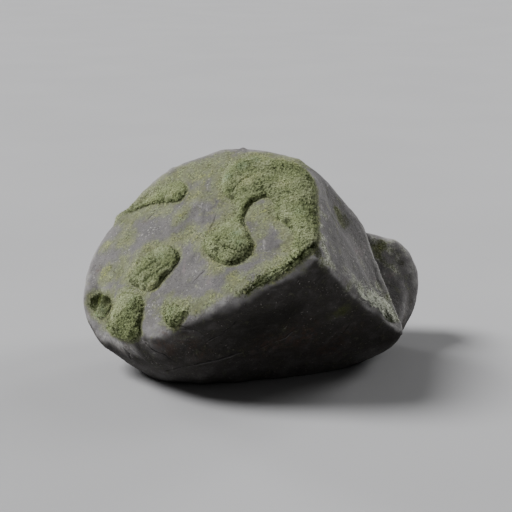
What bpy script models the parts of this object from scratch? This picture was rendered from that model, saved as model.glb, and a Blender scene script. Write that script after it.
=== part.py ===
"""A mossy field stone that rests on a flat base: one solid boulder, and the moss cushions that grow on it.

Run with: blender --background --python part.py
Units are metres, +Z is up, and the origin is on the ground under the middle of the boulder.
Every size and place named in this file is in millimetres, and every angle is in degrees.
"""

import math

import bmesh
import bpy
import numpy as np
from mathutils import Vector, geometry, noise
from mathutils.bvhtree import BVHTree

MM = 0.001

STONE_COLOUR, STONE_ROUGHNESS = (0.18, 0.17, 0.18), 0.85
MOSS_COLOUR, MOSS_ROUGHNESS = (0.17, 0.22, 0.07), 0.95

# ---------------------------------------------------------------- the stone

# The big block: the corners that its broad weathered faces meet at.
BLOCK_CORNERS = {
    "left_heel": (-305, 8, 138),
    "left_cheek": (-297, 50, 182),
    "cheek_low": (-294, -8, 80),
    "left_brow": (-262, 90, 232),
    "left_shoulder": (-190, 118, 310),
    "crown_left": (-118, 112, 358),
    "crown_middle": (-52, 110, 380),
    "crown_top": (-10, 98, 384),
    "crown_right": (30, 85, 375),
    "right_brow": (86, 38, 371),
    "ridge_upper": (114, -20, 345),
    "ridge_lower": (118, -100, 305),
    "slope_upper": (147, 76, 316),
    "slope_lower": (184, 102, 256),
    "crest_top": (201, 99, 237),
    "crest_middle": (217, 46, 186),
    "crest_low": (245, 22, 147),
    "crest_end": (268, 2, 109),
    "tip": (281, -30, 65),
    "prow": (108, -214, 264),
    "lip_right": (56, -230, 228),
    "lip_middle": (-50, -238, 186),
    "lip_left": (-140, -218, 127),
    "toe": (-218, -112, 69),
    "toe_low": (-266, -56, 57),
    "heel_front": (-206, -54, 22),
    "belly_left": (-168, -150, 62),
    "belly_middle": (-85, -172, 66),
    "foot_a": (-150, -70, -8),
    "foot_b": (-87, -76, -12),
    "foot_c": (-32, -70, -12),
    "foot_d": (20, -48, -12),
    "foot_e": (104, -34, -12),
    "foot_f": (158, -10, -10),
    "foot_g": (200, 26, -4),
    "foot_h": (180, 125, -12),
    "foot_i": (60, 180, -14),
    "foot_j": (-100, 165, -14),
    "foot_k": (-195, 60, -12),
    "foot_l": (-200, -20, -2),
    "back_left": (-205, 195, 150),
    "back_middle": (-60, 242, 170),
    "back_right": (90, 232, 150),
    "back_low_left": (-120, 215, 60),
    "back_low_right": (60, 225, 60),
    "back_high_left": (-140, 180, 285),
    "back_high": (-30, 205, 295),
    "back_high_right": (70, 165, 295),
    "back_slope": (165, 165, 215),
}

# The shoulder that bulges out behind the crest on the right, and round to the back.
SHOULDER_CORNERS = {
    "saddle": (226, 106, 211),
    "top": (271, 128, 202),
    "top_outer": (294, 134, 188),
    "outer": (312, 126, 144),
    "outer_low": (317, 114, 104),
    "low": (307, 94, 64),
    "root_low": (272, 54, 30),
    "foot": (215, 90, 2),
    "foot_back": (225, 170, 4),
    "back_outer": (292, 196, 130),
    "back_outer_low": (276, 190, 60),
    "back_top": (236, 192, 180),
    "back_middle": (84, 238, 150),
    "back_low": (56, 230, 44),
    "inside_top": (120, 160, 234),
    "inside": (60, 120, 60),
}

# The web of stone that joins the crest to the shoulder.
WEB_CORNERS = {
    "crest_top": (207, 104, 227),
    "crest_middle": (211, 58, 179),
    "crest_low": (234, 38, 128),
    "crest_foot": (264, 2, 62),
    "shoulder_top": (258, 130, 190),
    "shoulder_outer": (298, 122, 140),
    "shoulder_low": (292, 102, 76),
    "foot_front": (236, 24, 16),
    "foot_side": (250, 90, 8),
    "inside": (120, 100, 30),
    "inside_top": (150, 130, 190),
}

GRAIN = 6.5  # spacing of the surface while the stone is shaped
WEAR_PASSES = 30  # how far its edges are worn round
WEAR_STRENGTH = 0.5  # how far each pass draws a point towards its neighbours
STONE_TRIANGLES = 5500
CUT_TOLERANCE = 1e-6  # points this near the ground count as on it, in metres

# Edges that stayed crisper than the rest: the path of each, its reach, and the share of the wear it escaped.
CRISP_EDGES = {
    "crest": ([(201, 99, 235), (217, 46, 186), (245, 22, 147), (268, 2, 109), (282, -30, 67)], 30, 0.9),
    "strip_ridge": ([(90, 30, 368), (114, -20, 345), (118, -100, 305), (108, -214, 264)], 26, 0.45),
    "front_ridge": ([(108, -214, 264), (160, -150, 200), (282, -30, 67)], 26, 0.6),
}

# Hollows worn into the faces, and swellings left on them: the path that each follows, its reach,
# and its depth (negative for a swelling).
HOLLOWS_AND_SWELLINGS = {
    "strip": ([(150, 10, 282), (186, 8, 220), (212, -12, 165), (242, -24, 112)], 80, 17),
    "valley_by_crest": ([(228, 85, 205), (242, 60, 165), (260, 42, 120), (275, 16, 84)], 36, 9),
    "left_dimple": ([(-271, -18, 126)], 36, 21),
    "bay": ([(40, -100, 290), (55, -150, 262)], 55, 6),
    "left_flute": ([(-250, 40, 215), (-200, -20, 205), (-170, -110, 170)], 60, -5),
    "middle_flute": ([(-190, 70, 290), (-110, -60, 240), (-90, -160, 190)], 45, 5),
    "under_lip": ([(-90, -190, 110), (0, -190, 140), (90, -140, 150)], 60, 8),
    "back_scoop": ([(-120, 200, 190), (-20, 225, 120)], 90, 14),
    "back_shelf": ([(60, 190, 250), (150, 160, 200)], 60, -8),
}

# Stretches that are worn smoother than the rest: the path along each, its reach, and the passes.
SMOOTH_STRETCHES = {
    "strip": ([(146, 20, 290), (186, 10, 220), (212, -14, 165), (242, -26, 112)], 75, 60),
    "front_lip": ([(-20, -236, 198), (-80, -236, 172), (-139, -217, 128), (-184, -166, 96)], 74, 140),
}

# Weathering: the wavelength and the height of each size of lump.
LUMPS = ((105, 5.0), (42, 2.0), (19, 0.8))

# ---------------------------------------------------------------- the moss

FACE = (-41, 51)  # the azimuth and the elevation that the broad top face looks towards
MIDDLE_HEIGHT = 180  # the outlines below are drawn on planes through the stone's middle, at this height
SHARP_ANGLE = 50  # edges of a cushion that turn further than this are shaded sharp
SURFACE_GAP = 0.4  # between a cushion and the stone, so that their faces never touch
ROOT_DEPTH = 7  # how far a cushion reaches down before it is cut to fit the stone
OUTSIDE = 600  # well clear of the stone, where the lines that find its surface start
RIM_HEIGHT = 3  # the upright part of a cushion's edge
EDGE_WIDTH = 10  # the width of the rounded part of a cushion's edge
EDGE_RING = 4  # where the ring of points on that part lies, in from the outline
RING_CLEARANCE = 0.9  # points of the ring nearer the outline than this share of EDGE_RING are left out
OUTLINE_STEP = 10.5  # spacing of the points along a cushion's outline
CUSHION_GRID = 15  # spacing of the points inside it
GRID_CLEARANCE = 0.75  # points inside nearer the outline than this share of their spacing are left out
MERGE_DISTANCE = 1e-4  # flat points nearer than this count as one
UNEVENNESS, UNEVEN_WAVELENGTH = 0.22, 32  # a cushion's lumps: their share of its height, and their size
CURVE_SAMPLES = 16  # points worked out between two corners of an outline, before they are spaced evenly

# Each cushion: the way its outline's plane faces, its height, and its outline, as points that a smooth closed
# curve passes through (to the right, and up the plane).
CUSHIONS = {
    "crown_moss": (FACE, 11, [
        (-70, 112), (-60, 84), (-40, 60), (-16, 50), (10, 36), (15, 10), (6, -18), (-1, -42), (12, -64),
        (38, -78), (64, -84), (88, -82), (103, -69), (108, -50), (102, -33), (84, -17), (62, -3),
        (46, 14), (36, 42), (43, 65), (63, 69), (84, 42), (110, 26), (136, 18), (153, 3), (163, -14),
        (169, -38), (166, -60), (150, -74), (138, -98), (130, -120), (137, -128), (148, -114),
        (160, -99), (174, -88), (185, -72), (197, -46), (207, -16), (197, 14), (169, 53), (131, 101),
        (100, 140), (68, 162), (38, 168), (10, 160), (-14, 163), (-36, 158), (-56, 136),
    ]),
    "left_middle_moss": (FACE, 10, [
        (-84, -68), (-56, -68), (-29, -84), (-27, -108), (-32, -130), (-34, -151), (-50, -161),
        (-78, -159), (-104, -152), (-123, -142), (-120, -124), (-116, -105), (-106, -85),
    ]),
    "left_lower_moss": ((-48, 24), 10, [
        (-88, -101), (-60, -96), (-35, -96), (-14, -112), (-6, -128), (-6, -144), (-2, -156),
        (-12, -168), (-34, -177), (-67, -180), (-98, -177), (-114, -170), (-109, -156), (-93, -140),
        (-94, -122),
    ]),
    "small_moss": (FACE, 9, [
        (2, -174), (14, -169), (36, -170), (57, -170), (57, -182), (50, -198), (44, -209), (28, -208),
        (12, -200), (2, -188),
    ]),
    "dimple_moss": ((-50, 10), 6, [
        (-177, -88), (-166, -79), (-148, -73), (-129, -70), (-109, -70), (-94, -80), (-98, -94),
        (-118, -110), (-142, -114), (-162, -109), (-178, -99),
    ]),
    "upper_left_moss": (FACE, 7, [
        (-236, -24), (-216, -12), (-198, 1), (-178, 12), (-142, 17), (-112, 21), (-104, 33), (-109, 50),
        (-134, 65), (-161, 66), (-182, 50), (-204, 32), (-222, 12), (-234, -6),
    ]),
    "tip_moss": ((78, 32), 5, [
        (-106, -88), (-68, -104), (-28, -118), (14, -133), (52, -158), (84, -184), (88, -202), (66, -213),
        (34, -212), (0, -201), (-28, -182), (-54, -157), (-76, -134), (-98, -110),
    ]),
    "back_crown_moss": ((172, 38), 10, [
        (-20, 60), (30, 78), (74, 66), (92, 34), (70, 6), (30, 10), (4, -22), (-34, -34), (-58, -8),
        (-48, 30),
    ]),
    "back_left_moss": ((168, 18), 9, [
        (96, 20), (128, 34), (156, 18), (160, -14), (142, -44), (112, -52), (96, -30), (104, -4),
    ]),
    "back_right_moss": ((140, 25), 9, [
        (-106, -142), (-84, -120), (-54, -116), (-26, -130), (-28, -160), (-56, -176), (-86, -184),
        (-110, -168),
    ]),
}


def clear_scene():
    for thing in list(bpy.data.objects):
        bpy.data.objects.remove(thing)


def new_collection(name):
    made = bpy.data.collections.new(name)
    bpy.context.scene.collection.children.link(made)
    return made


def new_object(name, mesh, collection):
    made = bpy.data.objects.new(name, mesh)
    collection.objects.link(made)
    return made


def material(name, colour, roughness):
    made = bpy.data.materials.new(name)
    made.use_nodes = True
    surface = made.node_tree.nodes["Principled BSDF"]
    surface.inputs["Base Color"].default_value = (*colour, 1)
    surface.inputs["Roughness"].default_value = roughness
    surface.inputs["Metallic"].default_value = 0
    made.diffuse_color = (*colour, 1)
    return made


def evaluated_mesh(thing):
    bpy.context.view_layer.update()
    return bpy.data.meshes.new_from_object(thing.evaluated_get(bpy.context.evaluated_depsgraph_get()))


def apply_modifiers(thing):
    shaped = evaluated_mesh(thing)
    thing.modifiers.clear()
    thing.data = shaped


def read_vertices(mesh, attribute):
    found = np.empty(len(mesh.vertices) * 3, np.float32)
    mesh.vertices.foreach_get(attribute, found)
    return found.reshape(-1, 3).astype(float)


def move_vertices(mesh, points):
    mesh.vertices.foreach_set("co", points.astype(np.float32).ravel())
    mesh.update()


def hull_of(name, corners, collection):
    """A closed block with these corners."""
    bm = bmesh.new()
    for place in corners.values():
        bm.verts.new(Vector(place) * MM)
    made = bmesh.ops.convex_hull(bm, input=bm.verts)
    inside = {v for v in made["geom_interior"] + made["geom_unused"] if isinstance(v, bmesh.types.BMVert)}
    bmesh.ops.delete(bm, geom=list(inside), context="VERTS")
    bmesh.ops.recalc_face_normals(bm, faces=bm.faces)
    mesh = bpy.data.meshes.new(name)
    bm.to_mesh(mesh)
    bm.free()
    return new_object(name, mesh, collection)


def distance_to_path(points, path):
    """Each point's distance to the nearest stretch of a path, in metres."""
    corners = [np.array(place) * MM for place in path]
    if len(corners) == 1:
        return np.linalg.norm(points - corners[0], axis=1)
    nearest = np.full(len(points), np.inf)
    for start, end in zip(corners, corners[1:]):
        along = end - start
        share = np.clip((points - start) @ along / (along @ along), 0, 1)
        nearest = np.minimum(nearest, np.linalg.norm(points - start - share[:, None] * along, axis=1))
    return nearest


def near_path(points, path, reach):
    """1 on the path, easing to 0 at its reach."""
    return np.clip(1 - (distance_to_path(points, path) / (reach * MM)) ** 2, 0, 1) ** 2


def grow_together(block, others):
    for other in others:
        join = block.modifiers.new("join", "BOOLEAN")
        join.operation, join.object = "UNION", other
    remesh = block.modifiers.new("grain", "REMESH")
    remesh.mode, remesh.voxel_size = "VOXEL", GRAIN * MM
    apply_modifiers(block)
    for other in others:
        bpy.data.objects.remove(other)


def smooth_by(stone, weights, passes):
    group = stone.vertex_groups.new(name="wear")
    for index, weight in enumerate(weights):
        group.add([index], weight, "REPLACE")
    smooth = stone.modifiers.new("wear", "SMOOTH")
    smooth.factor, smooth.iterations, smooth.vertex_group = WEAR_STRENGTH, passes, group.name
    apply_modifiers(stone)
    stone.vertex_groups.clear()


def wear_edges(stone):
    """Smooths the stone all over, and less along its crisp edges."""
    points = read_vertices(stone.data, "co")
    wear = np.ones(len(points))
    for path, reach, kept in CRISP_EDGES.values():
        wear = np.minimum(wear, 1 - kept * near_path(points, path, reach))
    smooth_by(stone, wear, WEAR_PASSES)


def smooth_stretches(stone):
    for path, reach, passes in SMOOTH_STRETCHES.values():
        smooth_by(stone, near_path(read_vertices(stone.data, "co"), path, reach), passes)


def shape_faces(mesh):
    for path, reach, depth in HOLLOWS_AND_SWELLINGS.values():
        points = read_vertices(mesh, "co")
        sunk = near_path(points, path, reach) * depth * MM
        move_vertices(mesh, points - read_vertices(mesh, "normal") * sunk[:, None])


def roughen(mesh):
    points, normals = read_vertices(mesh, "co"), read_vertices(mesh, "normal")
    swell = np.zeros(len(points))
    for wavelength, height in LUMPS:
        swell += [noise.noise(Vector(p) / (wavelength * MM)) * height * MM for p in points]
    move_vertices(mesh, points + normals * swell[:, None])


def reduce_to(thing, triangles):
    coarse = thing.modifiers.new("coarse", "DECIMATE")
    coarse.use_collapse_triangulate = True
    coarse.ratio = triangles / sum(len(face.vertices) - 2 for face in thing.data.polygons)
    apply_modifiers(thing)


def cut_base(mesh):
    """Everything under the ground comes off, and the cut is closed with one flat face."""
    bm = bmesh.new()
    bm.from_mesh(mesh)
    everything = bm.verts[:] + bm.edges[:] + bm.faces[:]
    cut = bmesh.ops.bisect_plane(
        bm, geom=everything, dist=CUT_TOLERANCE, plane_co=(0, 0, 0), plane_no=(0, 0, -1), clear_outer=True
    )
    rim = [e for e in cut["geom_cut"] if isinstance(e, bmesh.types.BMEdge)]
    bmesh.ops.edgeloop_fill(bm, edges=rim)
    bmesh.ops.recalc_face_normals(bm, faces=bm.faces)
    bm.to_mesh(mesh)
    bm.free()


def centre_over_ground(pieces):
    """Moves every piece alike, so that the origin is on the ground under the middle of their box."""
    points = np.concatenate([read_vertices(piece.data, "co") for piece in pieces.objects])
    middle = (points.min(axis=0) + points.max(axis=0)) / 2
    middle[2] = 0
    for piece in pieces.objects:
        move_vertices(piece.data, read_vertices(piece.data, "co") - middle)


def make_stone(pieces, helpers):
    stone = hull_of("rock", BLOCK_CORNERS, pieces)
    shoulder = hull_of("shoulder_block", SHOULDER_CORNERS, helpers)
    web = hull_of("web_block", WEB_CORNERS, helpers)
    grow_together(stone, [shoulder, web])
    wear_edges(stone)
    shape_faces(stone.data)
    smooth_stretches(stone)
    roughen(stone.data)
    reduce_to(stone, STONE_TRIANGLES)
    cut_base(stone.data)
    stone.data.shade_smooth()
    stone.data.materials.append(material("weathered_stone", STONE_COLOUR, STONE_ROUGHNESS))
    return stone


def plane_axes(facing):
    """Right, up and outward along a plane that faces this azimuth and elevation."""
    azimuth, elevation = (math.radians(angle) for angle in facing)
    level = math.cos(elevation)
    outward = np.array([math.sin(azimuth) * level, -math.cos(azimuth) * level, math.sin(elevation)])
    right = np.array([math.cos(azimuth), math.sin(azimuth), 0])
    return right, np.cross(outward, right), outward


def smooth_outline(corners, step):
    """A closed Catmull-Rom curve through the corners, as evenly spaced points."""
    corners = np.array(corners, float)
    before, after, beyond = (np.roll(corners, shift, axis=0) for shift in (1, -1, -2))
    curve = []
    for a, b, c, d in zip(before, corners, after, beyond):
        for t in np.linspace(0, 1, CURVE_SAMPLES, endpoint=False):
            square, cube = 2 * a - 5 * b + 4 * c - d, 3 * b - a - 3 * c + d
            curve.append((2 * b + (c - a) * t + square * t**2 + cube * t**3) / 2)
    curve = np.array(curve + curve[:1])
    length = np.concatenate([[0], np.cumsum(np.linalg.norm(np.diff(curve, axis=0), axis=1))])
    places = np.linspace(0, length[-1], round(length[-1] / step), endpoint=False)
    return np.column_stack([np.interp(places, length, curve[:, axis]) for axis in (0, 1)])


def distance_to_outline(points, outline):
    """Each flat point's distance to the closed outline."""
    nearest = np.full(len(points), np.inf)
    for start, end in zip(outline, np.roll(outline, -1, axis=0)):
        along = end - start
        share = np.clip((points - start) @ along / (along @ along), 0, 1)
        nearest = np.minimum(nearest, np.linalg.norm(points - start - share[:, None] * along, axis=1))
    return nearest


def is_inside(points, outline):
    """Whether each flat point is within the closed outline: a ray from it crosses an odd number of sides."""
    inside = np.zeros(len(points), bool)
    for start, end in zip(outline, np.roll(outline, -1, axis=0)):
        spans = (start[1] > points[:, 1]) != (end[1] > points[:, 1])
        rise = np.where(spans, end[1] - start[1], 1)
        crossing = start[0] + (points[:, 1] - start[1]) / rise * (end[0] - start[0])
        inside ^= spans & (points[:, 0] < crossing)
    return inside


def inner_points(outline, spacing):
    """A triangular grid that fills the outline, clear of its edge."""
    low, high = outline.min(axis=0), outline.max(axis=0)
    rows = np.arange(low[1], high[1], spacing * math.sqrt(0.75))
    columns = np.arange(low[0], high[0], spacing)
    grid = np.array([(x + (row % 2) * spacing / 2, y) for row, y in enumerate(rows) for x in columns])
    grid = grid[is_inside(grid, outline)]
    return grid[distance_to_outline(grid, outline) > spacing * GRID_CLEARANCE]


def ring_inside(outline, inset):
    """A second ring just inside the outline, left out where the outline is too narrow for it."""
    along = np.roll(outline, -1, axis=0) - np.roll(outline, 1, axis=0)
    across = np.column_stack([-along[:, 1], along[:, 0]]) / np.linalg.norm(along, axis=1)[:, None]
    turn = np.sign(np.cross(outline, np.roll(outline, -1, axis=0)).sum())
    ring = outline + across * inset * turn
    clear = distance_to_outline(ring, outline) > inset * RING_CLEARANCE
    return ring[is_inside(ring, outline) & clear]


def cushion_height(points, outline, height):
    """Low and steep at the outline, rounded at the shoulder, and gently uneven within."""
    edge = np.clip(distance_to_outline(points, outline) / EDGE_WIDTH, 0, 1)
    lumps = np.array([noise.noise(Vector((x, y, height)) / UNEVEN_WAVELENGTH) for x, y in points])
    return RIM_HEIGHT + (height - RIM_HEIGHT) * np.sqrt(1 - (1 - edge) ** 2) * (1 + UNEVENNESS * lumps)


def cushion_block(name, facing, height, corners, ground, helpers):
    """A cushion before it is cut to fit: its top follows the stone, and its roots go into it."""
    outline = smooth_outline(corners, OUTLINE_STEP)
    flat = np.concatenate([outline, ring_inside(outline, EDGE_RING), inner_points(outline, CUSHION_GRID)])
    count = len(outline)
    loop = [(i, (i + 1) % count) for i in range(count)]
    flat, _, faces, *_ = geometry.delaunay_2d_cdt([Vector(p) for p in flat], loop, [], 1, MERGE_DISTANCE)
    flat = np.array([tuple(p) for p in flat])
    right, up, outward = plane_axes(facing)
    middle = np.array([0, 0, MIDDLE_HEIGHT])
    above = (middle + flat[:, :1] * right + flat[:, 1:] * up + outward * OUTSIDE) * MM
    surface = np.array([ground.ray_cast(Vector(p), Vector(-outward))[0] for p in above])
    top = surface + outward * cushion_height(flat, outline, height)[:, None] * MM
    root = surface - outward * ROOT_DEPTH * MM
    bm = bmesh.new()
    tops = [bm.verts.new(p) for p in top]
    roots = [bm.verts.new(p) for p in root]
    for a, b, c in faces:
        bm.faces.new((tops[a], tops[b], tops[c]))
        bm.faces.new((roots[c], roots[b], roots[a]))
    for a, b in loop:
        bm.faces.new((tops[b], tops[a], roots[a], roots[b]))
    bmesh.ops.triangulate(bm, faces=bm.faces)
    bmesh.ops.recalc_face_normals(bm, faces=bm.faces)
    mesh = bpy.data.meshes.new(name)
    bm.to_mesh(mesh)
    bm.free()
    return new_object(name, mesh, helpers)


def swollen_copy(stone, gap, helpers):
    mesh = stone.data.copy()
    move_vertices(mesh, read_vertices(mesh, "co") + read_vertices(mesh, "normal") * gap * MM)
    return new_object("stone_clearance", mesh, helpers)


def make_cushion(name, cushion, ground, clearance, pieces, helpers):
    block = cushion_block(name, *cushion, ground, helpers)
    fit = block.modifiers.new("fit", "BOOLEAN")
    fit.operation, fit.object = "DIFFERENCE", clearance
    apply_modifiers(block)
    helpers.objects.unlink(block)
    pieces.objects.link(block)
    block.data.shade_smooth()
    block.data.set_sharp_from_angle(angle=math.radians(SHARP_ANGLE))
    block.data.materials.append(material(name, MOSS_COLOUR, MOSS_ROUGHNESS))


def main():
    clear_scene()
    pieces = new_collection("mossy_rock")
    helpers = new_collection("helpers")
    helpers.hide_render = True
    stone = make_stone(pieces, helpers)
    bpy.context.view_layer.update()
    ground = BVHTree.FromObject(stone, bpy.context.evaluated_depsgraph_get())
    clearance = swollen_copy(stone, SURFACE_GAP, helpers)
    for name, cushion in CUSHIONS.items():
        make_cushion(name, cushion, ground, clearance, pieces, helpers)
    bpy.data.objects.remove(clearance)
    centre_over_ground(pieces)


main()
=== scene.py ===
"""The mossy rock, dressed: the weathered stone with its films, stains, cracks and grains, and the moss on it.

Every size and place is in metres unless its comment says otherwise. A place on the near side of the stone
is given as it is seen, by its pixel in a frame of 512 x 512, and is then found on the stone's own surface.
A noise is given by its wavelength and a number that sets it apart. A range is where a soft step sets in.
"""

import math

import bmesh
import bpy
import numpy as np
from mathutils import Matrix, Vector, noise
from mathutils.bvhtree import BVHTree


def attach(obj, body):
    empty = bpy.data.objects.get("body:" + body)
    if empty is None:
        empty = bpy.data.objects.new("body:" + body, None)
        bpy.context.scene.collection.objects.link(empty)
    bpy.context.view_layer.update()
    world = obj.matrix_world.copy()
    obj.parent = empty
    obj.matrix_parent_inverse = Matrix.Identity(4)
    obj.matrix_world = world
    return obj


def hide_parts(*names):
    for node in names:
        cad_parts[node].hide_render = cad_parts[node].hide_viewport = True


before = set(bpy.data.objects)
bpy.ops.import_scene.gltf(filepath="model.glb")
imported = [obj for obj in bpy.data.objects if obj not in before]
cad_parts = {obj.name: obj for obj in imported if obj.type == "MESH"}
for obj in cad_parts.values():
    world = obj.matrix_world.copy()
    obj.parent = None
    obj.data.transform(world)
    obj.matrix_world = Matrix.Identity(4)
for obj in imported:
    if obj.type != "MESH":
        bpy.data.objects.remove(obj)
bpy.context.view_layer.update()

MM = 0.001

# ------------ the camera

FRAME_PIXELS = 512
ELEVATION = math.radians(15)
LENS, SENSOR = 85, 36  # millimetres
DISTANCE = 2.164
AIM = np.array([0.0009, 0.0484, 0.190])
FORWARD = np.array([0, math.cos(ELEVATION), -math.sin(ELEVATION)])
UPWARD = np.array([0, math.sin(ELEVATION), math.cos(ELEVATION)])
CAMERA_PLACE = AIM - FORWARD * DISTANCE
PIXELS_PER_UNIT = LENS / SENSOR * FRAME_PIXELS
PIXEL = DISTANCE / PIXELS_PER_UNIT  # the size of a pixel at the stone
UP_LEFT = (UPWARD - np.array([1, 0, 0])) / math.sqrt(2)  # up and to the left, as the camera sees it
SIGHT_REACH, SIGHT_STEP = 0.3, 4 * MM  # how a line of sight that misses the stone is searched

# ------------ the stone

STONE_GRAIN = 3.6 * MM  # spacing of the stone's surface
FACET_SMOOTHING = 14
SMOOTHED_HEIGHTS = (1 * MM, 9 * MM)  # range above the ground
RELIEF = (  # the wavelength and height of each size of unevenness
    (46 * MM, 1.4 * MM), (21 * MM, 0.75 * MM), (11 * MM, 0.45 * MM), (7 * MM, 0.25 * MM),
)
RELIEF_HEIGHTS = (0.5 * MM, 8 * MM)  # range above the ground
MOSS_CLEARANCE = (1 * MM, 7 * MM)  # range: the stone keeps its plain surface under and right beside the moss
MOSS_REACH = 40 * MM  # how far from the moss its distance is measured
LEDGES, LEDGE_HEIGHT = (65 * MM, 7), 0.6 * MM  # low, level ledges on the faces that look down
LEDGE_STRETCH = np.array([1, 1, 2.6])
LEDGE_EDGE, LEDGE_SLOPES = (0, 0.16), (-0.05, 0.3)  # ranges

# Cracks: the pixels that each runs through, its depth and its half width in millimetres.
CRACKS = {
    "long": (((167, 371), (184, 367), (200, 364), (213, 361), (226, 357), (242, 352)), 3.2, 2.6),
    "upper_left": (((172, 322), (184, 328), (197, 331), (206, 336)), 0.9, 2),
    "upper": (((205, 343), (220, 336), (232, 326), (238, 318)), 1.4, 2),
    "middle": (((258, 349), (272, 343), (285, 338), (297, 329)), 1.6, 2.2),
    "low_left": (((146, 344), (154, 351), (163, 354), (172, 360)), 1.8, 2.2),
    "right": (((330, 340), (343, 333), (352, 322)), 1.2, 2),
    "nick": (((123, 348), (128, 353), (131, 359)), 2.4, 2.4),
    "vein_face": (((192, 284), (199, 276), (205, 270), (210, 264)), 0.7, 1.8),
    "vein_upper": (((208, 232), (213, 223), (216, 214)), 0.7, 1.8),
    "vein_left": (((142, 226), (150, 217), (157, 211)), 0.7, 1.8),
}
CRACK_REFINED = 6 * MM  # how far from a crack the surface is refined
CRACK_WANDER, CRACK_SWING = (9 * MM, 3), 1.6 * MM  # the noise that makes a crack uneven, and how far
CRACK_FLOOR = 0.3 * MM  # half the width of its bottom
CRACK_ENDS, CRACK_END_DEPTH = 14 * MM, 0.35  # how long its shallow ends are, and their share of its depth
DARK_CRACK = 1.6 * MM  # a crack this deep is painted wholly dark, as painted shade

# Edges crisper than the solid's: each one's pixels, its height and its half width in millimetres.
CREST = (
    (361.5, 227), (365, 234), (368.5, 244), (371.5, 254), (374.5, 264), (378, 274), (382, 284), (386, 294),
    (390, 304), (394, 314), (398, 324), (401, 329),
)
CRISP_EDGES = {
    "crest": (CREST, 2.2, 8),
    "crest_low": (CREST[4:11], 4.2, 13),
    "front_ridge": (((318, 258), (335, 278), (350, 296), (365, 309), (382, 321), (399, 331)), 1.6, 10),
    "front_ridge_low": (((354, 299), (366, 309), (378, 317), (390, 324), (401, 331)), 1.2, 12),
    "tip": (((398, 326), (402, 331)), 2.2, 14),
}
EDGE_SHARPNESS = 1.5
HIGHLIGHT_WANDER, HIGHLIGHT_SWING = (14 * MM, 61), 2 * MM  # the noise that makes its painted highlight uneven, and how far
HIGHLIGHT_CORE, HIGHLIGHT_HEIGHT = 0.5 * MM, 2.6 * MM  # half width of its full painted highlight; an edge this high is wholly highlighted

# Bumps and hollows: the pixel of each, its reach and height in millimetres, and its share that is level.
BUMPS = (
    ((119, 214), 9, -1.5, 0.2), ((128, 354), 7, -2.5, 0.2), ((172, 170), 14, 3.5, 0),
    ((120, 217), 24, 6.5, 0), ((226, 151), 55, 2.6, 0), ((296, 161), 26, 3, 0), ((143, 196), 20, 2, 0),
    ((369, 236), 12, 3, 0), ((396, 242), 26, 2.4, 0),
)
CROWN_CHIP = ((243, 148), 9 * MM, 3.4 * MM)  # a small raised tip on the skyline: pixel, reach, height
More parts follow.
